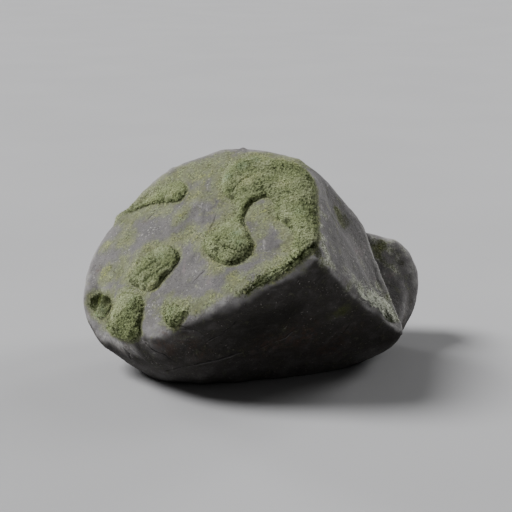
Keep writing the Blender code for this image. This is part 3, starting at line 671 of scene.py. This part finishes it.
def lift_and_fade(points, cushion_surface, rock, fades):
    """Each point's height above the stone, the stone's normal there, and 1 at a thinned rim to 0 inside."""
    found = [rock.find_nearest(Vector(point)) for point in points]
    on_stone, normals = np.array([hit[0] for hit in found]), np.array([hit[1] for hit in found])
    along = along_stone(normals) * fades
    outside = np.zeros(len(points))
    for reach in FADE_STEPS:
        for index, place in enumerate(on_stone + along * reach):
            beside = rock.find_nearest(Vector(place))[0]
            outside[index] += cushion_surface.find_nearest(beside, FADE_FOUND)[0] is None
    return np.array([hit[3] for hit in found]), normals, outside / len(FADE_STEPS)


def shoots_mesh(places, normals, sizes, sunk, seed):
    """Rosettes of leaves at the places, each a bent, closed leaf, with how far up the shoot each point is."""
    random = np.random.default_rng(seed)
    leaf, leaves, count = np.array(LEAF_POINTS), sum(LEAF_COUNTS), len(places)
    order = np.tile(np.arange(leaves), count)
    is_inner = order >= LEAF_COUNTS[0]

    def pick(pair):
        return np.where(is_inner, pair[1], pair[0])

    lean = normals + random.normal(0, LEAN_SCATTER, (count, 3)) + np.array([0, 0, LEAN_UP])
    axis = np.repeat(unit(lean), leaves, axis=0)
    turn = np.repeat(random.random(count) * 2 * math.pi, leaves)
    turn += 2 * math.pi * order / pick(LEAF_COUNTS) + pick(LEAF_TURNS)
    turn += random.normal(0, TURN_SCATTER, len(order))
    rise = pick(LEAF_RISES) + random.normal(0, RISE_SCATTER, len(order))
    length = np.repeat(random.uniform(*SHOOT_SIZES, count) * sizes, leaves)
    length *= pick(LEAF_LENGTHS) * random.uniform(*LEAF_SIZES, len(order))
    across = np.where(np.abs(axis[:, 2:]) < UPRIGHT, np.array([0, 0, 1.0]), np.array([1.0, 0, 0]))
    flat = rotate_about(unit(np.cross(axis, across)), axis, turn)
    out = flat * np.cos(rise)[:, None] + axis * np.sin(rise)[:, None]
    side = np.cross(axis, flat)
    root = np.repeat(places - normals * sunk[:, None], leaves, axis=0) + axis * pick(LEAF_ROOTS)[:, None]
    leaf_axes = np.stack([out, side, np.cross(out, side)], axis=1) * length[:, None, None]
    points = (root[:, None] + leaf @ leaf_axes).reshape(-1, 3)
    faces = np.array(LEAF_TRIANGLES)[None] + (np.arange(len(order)) * len(leaf))[:, None, None]
    height = pick(LEAF_STARTS)[:, None] + leaf[None, :, 0] * pick(LEAF_GAINS)[:, None]
    return points, faces.reshape(-1, 3), height.ravel()


def mat_mesh(cushion, rock, seen, fades):
    """The body of a cushion under its shoots: the solid's form drawn in, lumpy, and rooted on the stone."""
    mesh = remeshed(cushion, MAT_GRAIN)
    pairs = neighbour_pairs(mesh)
    points = smoothed(read_points(mesh), pairs, MAT_SMOOTHING)
    write_points(mesh, points)
    normals = read_points(mesh, "normal")
    lift, upward, fade = lift_and_fade(points, surface_of(cushion), rock, fades)
    fade = smoothed(fade[:, None], pairs, FADE_SMOOTHING)[:, 0]
    fade = np.maximum(fade, THIN_FADE * spots_at(points, seen, THIN))
    masks, sunk = growth_at(points, seen)
    lumps = sum(noise_at(points, wavelength, LUMP_SHIFT) * height for wavelength, height in MAT_LUMPS)
    bites = step(noise_at(points, *RAGGED), *RAGGED_EDGE) * RAGGED_DEPTH
    bites *= 1 - step(lift, *RAGGED_HEIGHTS)
    outside = step(lift, *OUTSIDE)
    points += normals * (outside * (lumps * (1 - fade) - MAT_INSET - bites - MAT_SINK * sunk))[:, None]
    points -= upward * (fade * (FADE_SINK * lift + RIM_SINK) + (1 - outside) * MAT_ROOTING)[:, None]
    write_points(mesh, points)
    return mesh, masks


def shoot_places(cushion, rock, seen, fades, seed):
    """Places for shoots on a cushion's outside, lower and fewer where it thins out, with their sizes."""
    random = np.random.default_rng(seed)
    places, normals = scattered_on(cushion, SHOOT_SPACING, seed)
    lift, upward, fade = lift_and_fade(places, surface_of(cushion), rock, fades)
    thin = spots_at(places, seen, THIN)
    fade = np.maximum(fade, THIN_FADE * thin)
    died_back = noise_at(places, *RAGGED) * RAGGED_SHOOTS + noise_at(places, *FINE_RAGGED) * FINE_SHOOTS
    kept = (lift > LOWEST_SHOOT) & (lift > LOW_SHOOT + died_back)
    kept &= random.random(len(places)) > FADE_THIN * fade**2 * (1 - thin)
    places = places - upward * (fade * FADE_SINK * np.maximum(lift - FRINGE_HEIGHT, 0))[:, None]
    return places[kept], normals[kept], 1 - FADE_SMALL * fade[kept]


def fringe_on(stone, cushion_surface, seen, fades, seed):
    """Places for small shoots on the stone beside a cushion: most are near it, by the rim that thins out."""
    random = np.random.default_rng(seed)
    places, normals = stone
    along = along_stone(normals) * fades
    reach = FRINGE * random.random(len(places))
    reach *= sum((share * noise_at(places, *parts) for parts, share in FRINGE_NOISES), FRINGE_MIDDLE)
    thin = FRINGE * spots_at(places, seen, THIN)
    kept = []
    for index, place in enumerate(places):
        nearest, _, _, away = cushion_surface.find_nearest(Vector(place), FRINGE)
        if nearest is None or away < FRINGE_NEAREST:
            continue
        side = (place - np.array(nearest)) @ along[index] / away
        if reach[index] * (FRINGE_SIDE + FRINGE_SIDE_SWING * side) + thin[index] > away:
            kept.append(index)
    return places[kept] + normals[kept] * FRINGE_HEIGHT, normals[kept]


def cushion_piece(node, cushion, rock, seen, stone_places, seed):
    """One cushion's mat and shoots, as one mesh with the masks that its material reads."""
    settings = {**DEFAULT_MOSS, **MOSS[node]}
    fades, length = settings["fades"], settings["length"]
    mat, mat_masks = mat_mesh(cushion, rock, seen, fades)
    places, normals, sizes = shoot_places(cushion, rock, seen, fades, seed)
    fringe_places, fringe_normals = fringe_on(stone_places, surface_of(cushion), seen, fades, seed)
    sizes = np.concatenate([sizes, np.full(len(fringe_places), FRINGE_SIZE)]) * length
    places, normals = np.concatenate([places, fringe_places]), np.concatenate([normals, fringe_normals])
    masks, sunk = growth_at(places, seen)
    points, faces, height = shoots_mesh(places, normals, sizes, sunk + MAT_INSET * length, seed)
    mat_points, mat_faces = read_points(mat), [tuple(face.vertices) for face in mat.polygons]
    shift = len(mat_points)
    mesh = bpy.data.meshes.new(node)
    mesh.from_pydata(np.concatenate([mat_points, points]).tolist(), [], mat_faces + (faces + shift).tolist())
    mesh.update()
    set_attribute(mesh, "height", np.concatenate([np.zeros(shift), height]))
    for name, values in masks.items():
        repeated = np.repeat(values, len(points) // len(places))
        set_attribute(mesh, name, np.concatenate([mat_masks[name], repeated]))
    for name in ("tint", "pale"):
        set_attribute(mesh, name, np.full(len(mesh.vertices), settings[name]))
    mesh.polygons.foreach_set("use_smooth", np.arange(len(mesh.polygons)) < len(mat_faces))
    return add_object(node + "_growth", mesh)


# ------------ materials

# The stone's colours. A pair is blended by a pattern, and a mineral's colour follows its pattern and range.
GREYS, STREAK, VEIN = ((0.2, 0.192, 0.19), (0.236, 0.226, 0.22)), (0.34, 0.27, 0.275), (0.13, 0.095, 0.09)
MINERALS = (
    ("blotches", (0.36, 0.66, 0, 0.8), (0.18, 0.173, 0.177)),
    ("mottle", (0.3, 0.5, 0.28, 0), (0.125, 0.12, 0.122)),
    ("mottle", (0.54, 0.74, 0, 0.3), (0.31, 0.298, 0.29)),
    ("grain", (0.34, 0.5, 0.55, 0), (0.098, 0.094, 0.094)),
    ("fine", (0.54, 0.68, 0, 0.45), (0.365, 0.353, 0.342)),
)
SPECK, PALE_GRAIN, CRYSTAL = (0.045, 0.042, 0.042), (0.6, 0.585, 0.56), (0.7, 0.69, 0.66)
SCRATCH = (0.5, 0.48, 0.46)
# Rounded edges are paler, partly edge wear and partly painted highlight; hollows are darker.
BULGE_WEAR_AND_HIGHLIGHT, BROAD_BULGE_WEAR_AND_HIGHLIGHT, HOLLOW = (0.43, 0.415, 0.42), (0.4, 0.385, 0.39), (0.075, 0.07, 0.066)
# Painted highlight on the crisp edges, painted shade in the cracks, and a painted shade multiplied over spots.
PAINTED_HIGHLIGHT_COLOUR, CRACK_SHADE, PAINTED_SHADE_TINT = (0.64, 0.63, 0.61), (0.03, 0.027, 0.025), (0.35, 0.35, 0.33)
# Painted shade on the faces that look down, with the crust and grains that show in it; and rust stains.
UNDERSIDE_SHADE_COLOUR, UNDERSIDE_SHADE_CRUST, UNDERSIDE_SHADE_GRAIN = (0.034, 0.03, 0.026), (0.135, 0.125, 0.105), (0.42, 0.39, 0.36)
RUST, LICHEN = (0.16, 0.085, 0.055), ((0.22, 0.24, 0.15), (0.78, 0.79, 0.68))
# Film, and film in the painted shade of the faces that look down.
FILM, UNDERSIDE_SHADE_FILM = ((0.238, 0.252, 0.138), (0.272, 0.288, 0.185)), (0.045, 0.05, 0.022)
DARK_FILM = (0.055, 0.062, 0.02)
STRANDS, YELLOW_STRANDS = ((0.4, 0.465, 0.26), (0.44, 0.465, 0.225)), (0.41, 0.45, 0.11)
# Strands in the painted shade of the faces that look down, and the gaps between strands.
UNDERSIDE_SHADE_STRANDS, STRAND_GAPS = (0.075, 0.09, 0.022), (0.075, 0.09, 0.03)

# The moss's colours: at the shoots' tips, with how far each mask draws them to its own, the painted shade in
# gaps and furrows, and at the base.
TIPS, SPECKLED_TIP = ((0.61, 0.66, 0.42), (0.71, 0.74, 0.54)), (0.24, 0.27, 0.13)
TIP_MASKS = {
    "straw": (0.85, (0.8, 0.81, 0.53)),
    "mint": (0.75, (0.56, 0.7, 0.54)),
    # Coarse growth has darker tips, partly as painted shade.
    "coarse": (0.7, (0.38, 0.43, 0.24)),
    "tint": (0.6, (0.3, 0.37, 0.12)),
    "pale": (1, (0.95, 0.96, 0.88)),
    "olive": (0.75, (0.25, 0.3, 0.06)),
}
# Painted shade of the shoots in the gaps and furrows, for green and for pale moss.
GAP_SHADES, PALE_GAP_SHADE = ((0.062, 0.086, 0.026), (0.1, 0.126, 0.05)), (0.26, 0.28, 0.19)
BASES, PALE_BASE = ((0.26, 0.295, 0.165), (0.34, 0.37, 0.23)), (0.8, 0.82, 0.72)
# The base in the gaps' painted shade, and dark growth that is partly painted shade on the cushions' shaded
# rims.
SHADED_BASE, DARK_GROWTH_AND_SHADE = (0.075, 0.095, 0.035), (0.036, 0.046, 0.012)

FLOOR = ((0.47, 0.47, 0.478), (0.485, 0.485, 0.493))
PATTERN_TURN = (0.2, -0.45, 0.6)  # how drawn-out patterns are turned, in radians


def fill(node, inputs):
    """Sets each of the node's inputs to a number, vector or colour, or links another node's value to it."""
    for name, value in inputs.items():
        socket = node.inputs[name]
        if isinstance(value, Value):
            node.id_data.links.new(value.socket, socket)
        else:
            socket.default_value = (*value, 1) if socket.type == "RGBA" else value


def made_by(tree, kind, inputs, output=0, **settings):
    """The value that a new node of this kind gives out."""
    node = tree.nodes.new("ShaderNode" + kind)
    for name, value in settings.items():
        setattr(node, name, value)
    fill(node, inputs)
    return Value(node.outputs[output])


class Value:
    """What a node of a material gives out. Arithmetic on it adds further nodes."""

    def __init__(self, socket):
        self.socket = socket

    def math(self, other, kind):
        return made_by(self.socket.id_data, "Math", {0: self, 1: other}, operation=kind)

    def __add__(self, other):
        return self.math(other, "ADD")

    def __sub__(self, other):
        return self.math(other, "SUBTRACT")

    def __mul__(self, other):
        return self.math(other, "MULTIPLY")

    def or_more(self, other):
        return self.math(other, "MAXIMUM")

    def between(self, low, high, start=0, end=1):
        """The value mapped from low..high to start..end, with soft ends."""
        inputs = {"Value": self, "From Min": low, "From Max": high, "To Min": start, "To Max": end}
        return made_by(self.socket.id_data, "MapRange", inputs, "Result", interpolation_type="SMOOTHSTEP")

    def beside(self, output):
        """Another value that the same node gives out."""
        return Value(self.socket.node.outputs[output])


class Paint:
    """A Principled material, whose colour and bumps are laid on in turn. Its sizes are in millimetres."""

    def __init__(self, name):
        self.material = bpy.data.materials.new(name)
        self.material.use_nodes = True
        self.tree = self.material.node_tree
        self.place = made_by(self.tree, "TexCoord", {}, "Object")
        self.bumps = {}

    def noise(self, size, detail=3, roughness=0.55, distortion=0, place=None):
        inputs = {"Vector": place or self.place, "Scale": 1 / (size * MM), "Detail": detail}
        inputs.update({"Roughness": roughness, "Distortion": distortion})
        return made_by(self.tree, "TexNoise", inputs, "Fac")

    def cells(self, size, place=None, feature="F1"):
        inputs = {"Vector": place or self.place, "Scale": 1 / (size * MM)}
        return made_by(self.tree, "TexVoronoi", inputs, "Distance", feature=feature)

    def stretched(self, x, y, z):
        """The place with each axis scaled, which draws a pattern out along the others."""
        inputs = {"Vector": self.place, "Scale": (x, y, z), "Rotation": PATTERN_TURN}
        return made_by(self.tree, "Mapping", inputs, "Vector")

    def warped(self, size, reach, place):
        """The place pushed about by noise, which makes a pattern uneven."""
        moved = made_by(self.tree, "TexNoise", {"Vector": self.place, "Scale": 1 / (size * MM)}, "Color")
        inputs = {0: moved, 1: [reach * MM] * 3, 2: place}
        return made_by(self.tree, "VectorMath", inputs, "Vector", operation="MULTIPLY_ADD")

    def mask(self, name):
        return made_by(self.tree, "Attribute", {}, "Fac", attribute_name=name)

    def blend(self, share, a, b, kind="MIX"):
        return made_by(self.tree, "Mix", {0: share, 6: a, 7: b}, 2, data_type="RGBA", blend_type=kind)

    def coat(self, share, colour, kind="MIX"):
        """Lays a colour over what is there, as strongly as the share says."""
        self.colour = self.blend(share, self.colour, colour, kind)

    def bump(self, height, distance, strength=1):
        inputs = {"Height": height, "Distance": distance * MM, "Strength": strength, **self.bumps}
        self.bumps = {"Normal": made_by(self.tree, "Bump", inputs, "Normal")}

    def finished(self, roughness, specular=0.5):
        shader = self.tree.nodes["Principled BSDF"]
        fill(shader, {"Base Color": self.colour, "Roughness": roughness, "Specular IOR Level": specular})
        fill(shader, self.bumps)
        return self.material


class StonePaint(Paint):
    """The stone's material: each method lays one kind of colour over what the ones before it laid on."""

    def __init__(self):
        super().__init__("weathered_stone")
        broad = self.noise(85, 4)
        self.blotches = self.noise(24, 5, 0.6, 0.4)
        self.mottle = self.noise(9, 5, 0.65)
        self.grain = self.noise(3.2, 4, 0.7)
        self.fine = self.noise(1.3, 3, 0.7)
        self.colour = self.blend(broad.between(0.38, 0.62), *GREYS)

    def lay_minerals(self):
        for pattern, steps, colour in MINERALS:
            self.coat(getattr(self, pattern).between(*steps), colour)
        streaks = self.noise(30, 4, 0.6, 0.6, self.stretched(1, 0.25, 1))
        self.coat(streaks.between(0.6, 0.72, 0, 0.35), STREAK)
        veins = self.cells(70, self.stretched(1, 0.5, 1.4), "DISTANCE_TO_EDGE")
        veins = (veins + (self.mottle - 0.5) * 0.18).between(0, 0.022, 1, 0)
        self.coat(veins * self.blotches.between(0.45, 0.6) * 0.22, VEIN)

    def lay_grains(self):
        specks = self.cells(4.6).between(0.16, 0.3, 1, 0)
        self.coat(specks * self.noise(16, 2).between(0.48, 0.62) * 0.4, SPECK)
        cells = self.cells(5.2, self.warped(7, 9, self.stretched(1.05, 0.95, 1.1)))
        many = self.mask("pale_grains") + self.noise(34, 3).between(0.56, 0.7, 0, 0.35)
        grains = (cells - many.between(0, 1, 0.08, 0.36)).between(-0.06, 0.05, 1, 0)
        self.pale_grains = grains * many.between(0.05, 0.3) * self.fine.between(0.35, 0.5)
        self.coat(self.pale_grains * 0.75, PALE_GRAIN)
        crystals = self.cells(6.5, self.warped(9, 12, self.stretched(0.9, 1.1, 1)))
        sparkle = crystals.between(0.13, 0.22, 1, 0) * crystals.beside("Color").between(0.6, 0.66)
        self.sparkle = sparkle * self.noise(40, 2).between(0.4, 0.56, 0.25, 1)
        self.coat(self.sparkle * 0.7, CRYSTAL)
        scratches = self.noise(9, 2, 0.6, 0, self.stretched(1.2, 0.14, 0.8))
        self.coat(scratches.between(0.64, 0.7, 0, 0.35), SCRATCH)

    def lay_wear_and_highlights(self):
        bulge = self.mask("bulge")
        patchy = self.blotches.between(0.38, 0.6, 0.35, 1)
        # Rounded edges paler: partly edge wear, partly painted highlight.
        self.coat(bulge.between(0.12, 0.9, 0, 0.45) * patchy, BULGE_WEAR_AND_HIGHLIGHT)
        self.coat(self.mask("broad_bulge").between(0.35, 1, 0, 0.3) * patchy, BROAD_BULGE_WEAR_AND_HIGHLIGHT)
        # Painted highlight, broken up by the mottle.
        self.coat(self.mask("worn") * self.mottle.between(0.34, 0.58, 0.3, 1) * 0.85, PAINTED_HIGHLIGHT_COLOUR)
        # The stone's hollows are darker.
        self.coat(bulge.between(-0.9, -0.12, 0.55, 0), HOLLOW)

    def lay_underside_shade_and_rust(self):
        # Painted shade on the faces that look down, with the crust and grains that show in it; then rust
        # stains.
        self.underside_shade = self.mask("underside_shade") * self.blotches.between(0.25, 0.55, 0.75, 1)
        self.coat(self.underside_shade * 0.88, UNDERSIDE_SHADE_COLOUR)
        crust = self.noise(2.6, 3, 0.75).between(0.56, 0.66) * self.mottle.between(0.4, 0.58)
        self.coat(self.underside_shade * crust * 0.6, UNDERSIDE_SHADE_CRUST)
        self.coat(self.underside_shade * self.sparkle.or_more(self.pale_grains) * 0.5, UNDERSIDE_SHADE_GRAIN)
        self.coat(self.mask("rust") * self.noise(11, 4, 0.65).between(0.44, 0.62) * 0.55, RUST)

    def lay_lichen_and_film(self):
        ragged = self.noise(24, 4, 0.7, 0.5) * 0.45 + self.mottle * 0.3 + self.grain * 0.25
        self.uneven = (ragged - 0.5) * 3.2
        film = self.mask("green").or_more(self.mask("beside_moss") * 0.8)
        self.film = (film * 1.25 + self.uneven).between(0, 0.9)
        lichen = (self.mask("lichen") * 1.2 + self.uneven).between(0.1, 1.1)
        crumbs = self.noise(3.4, 3, 0.7).between(0.46, 0.56)
        self.coat(lichen * 0.85, self.blend(crumbs, *LICHEN))
        green = self.blend(self.noise(20, 3).between(0.4, 0.62), *FILM)
        # The film is darker in the painted shade of the faces that look down.
        self.coat(self.film * 0.75, self.blend(self.underside_shade * 0.8, green, UNDERSIDE_SHADE_FILM))

    def lay_strands(self):
        strands = self.noise(3.1, 3, 0.75, 0.3, self.stretched(0.9, 1, 1.1))
        thick = self.film * self.noise(13, 3, 0.65).between(0.42, 0.58, 0.25, 1)
        yellow = (self.mask("yellow") + self.uneven).between(0.1, 0.9)
        bright = self.blend(self.blotches.between(0.46, 0.58), *STRANDS)
        bright = self.blend(yellow * 0.8, bright, YELLOW_STRANDS)
        # Strands are darker in the painted shade of the faces that look down.
        bright = self.blend(self.underside_shade * 0.8, bright, UNDERSIDE_SHADE_STRANDS)
        thick = thick.or_more(yellow * 0.5)
        self.coat(thick * strands.between(0.5, 0.6, 0, 0.85), bright)
        self.coat(thick * strands.between(0.38, 0.48, 0.8, 0), STRAND_GAPS)
        dark_film = (self.mask("dark_film") * 1.3 + self.uneven).between(0.3, 0.9)
        self.coat(dark_film * strands.between(0.62, 0.46, 0.35, 1) * 0.8, DARK_FILM)
        self.felt = thick * strands

    def lay_shade(self):
        # Painted shade, multiplied over those spots.
        self.coat(self.mask("painted_shade") * 0.8, PAINTED_SHADE_TINT, "MULTIPLY")
        # Painted shade in the cracks, darker the deeper they are.
        self.coat(self.mask("crack") * 0.85, CRACK_SHADE)

    def raise_bumps(self):
        self.bump(self.mottle, 1.5)
        self.bump(self.cells(7.5, self.stretched(1, 1, 1.2)).between(0.05, 0.42), 0.5, 0.8)
        self.bump(self.grain, 0.9)
        self.bump(self.fine, 0.35)
        self.bump(self.pale_grains + self.felt, 0.6, 0.8)


def stone_material():
    paint = StonePaint()
    paint.lay_minerals()
    paint.lay_grains()
    paint.lay_wear_and_highlights()
    paint.lay_underside_shade_and_rust()
    paint.lay_lichen_and_film()
    paint.lay_strands()
    paint.lay_shade()
    paint.raise_bumps()
    return paint.finished(paint.mottle.between(0.3, 0.7, 0.72, 0.9) + paint.film * 0.06, 0.35)


def moss_material():
    paint = Paint("cushion_moss")
    tone, pale = paint.mask("tone"), paint.mask("pale")
    patches, flecks = paint.noise(38, 4, 0.6), paint.noise(5, 3, 0.7)
    paint.colour = paint.blend(patches.between(0.38, 0.62), *TIPS)
    for name, (share, colour) in TIP_MASKS.items():
        paint.coat(paint.mask(name) * share, colour)
    paint.coat(paint.noise(3.6, 3, 0.7).between(0.34, 0.52, 0.35, 0), SPECKLED_TIP)
    # Painted shade: shoots in the gaps and furrows are drawn to dark colours.
    gap_shade = paint.blend(pale, paint.blend(patches.between(0.4, 0.6), *GAP_SHADES), PALE_GAP_SHADE)
    paint.coat(tone.between(0.02, 0.85, 0.9, 0), gap_shade)
    base = paint.blend(pale, paint.blend(patches.between(0.4, 0.6), *BASES), PALE_BASE)
    # The base is darker in the gaps too: painted shade.
    base = paint.blend(tone.between(0.1, 0.8, 0.8, 0), base, SHADED_BASE)
    paint.colour = paint.blend(paint.mask("height").between(0, 0.5), base, paint.colour)
    # Dark growth, partly painted shade on the cushions' shaded rims.
    paint.coat(paint.mask("dark_growth_and_shade") * 0.96, DARK_GROWTH_AND_SHADE)
    paint.bump(flecks, 1.2)
    return paint.finished(flecks.between(0.3, 0.7, 0.72, 0.92), 0.25)


def floor_material():
    paint = Paint("pale_floor")
    paint.colour = paint.blend(paint.noise(600, 2).between(0.3, 0.7), *FLOOR)
    return paint.finished(0.9)


# ------------ the studio

FLOOR_SIZE, FLOOR_SQUARES = 80, 8
WORLD_LIGHT = 0.1

# Each lamp: the direction that it stands in, its strength, and how soft it is, in degrees.
LAMPS = {
    "key": ((-0.66, 0, 0.75), 3.1, 24),
    "right": ((0.74, 0.34, 0.58), 0.6, 24),
    "back_left": ((-0.62, 0.75, 0.22), 0.9, 14),
    "back_right": ((0.62, 0.76, 0.2), 0.9, 14),
}


def make_floor():
    bm = bmesh.new()
    bmesh.ops.create_grid(bm, x_segments=FLOOR_SQUARES, y_segments=FLOOR_SQUARES, size=FLOOR_SIZE / 2)
    mesh = bpy.data.meshes.new("floor")
    bm.to_mesh(mesh)
    bm.free()
    floor = add_object("floor", mesh)
    floor.data.materials.append(floor_material())


def make_light():
    for name, (direction, strength, softness) in LAMPS.items():
        lamp = bpy.data.lights.new(name, "SUN")
        lamp.energy, lamp.angle = strength, math.radians(softness)
        add_object(name, lamp).rotation_euler = Vector(direction).to_track_quat("Z", "Y").to_euler()
    world = bpy.data.worlds.new("studio")
    world.use_nodes = True
    fill(world.node_tree.nodes["Background"], {"Color": (1, 1, 1), "Strength": WORLD_LIGHT})
    bpy.context.scene.world = world
    bpy.context.scene.view_settings.look = "AgX - Medium High Contrast"


def make_camera():
    camera = bpy.data.cameras.new("camera")
    camera.lens, camera.sensor_width = LENS, SENSOR
    held = add_object("camera", camera)
    held.location = CAMERA_PLACE
    held.rotation_euler = (math.pi / 2 - ELEVATION, 0, 0)
    bpy.context.scene.camera = held


def dress(piece, node, material):
    piece.data.materials.append(material)
    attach(piece, "root")
    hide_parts(node)


def main():
    make_camera()
    make_floor()
    make_light()
    coarse = welded_copy("rock")
    cushions = {node: welded_copy(node) for node in MOSS}
    surfaces = {node: surface_of(mesh) for node, mesh in cushions.items()}
    rock = surface_of(coarse)
    seen = surface_of(coarse, *cushions.values())

    stone_mesh = stone_shape(coarse, rock, surfaces)
    paint_stone(stone_mesh, rock, surfaces)
    stone_mesh.shade_smooth()
    dress(add_object("weathered_rock", stone_mesh), "rock", stone_material())

    growth = moss_material()
    stone_places = scattered_on(stone_mesh, SHOOT_SPACING, len(MOSS))
    for seed, (node, cushion) in enumerate(cushions.items()):
        piece = cushion_piece(node, cushion, rock, seen, stone_places, seed)
        dress(piece, node, growth)


main()
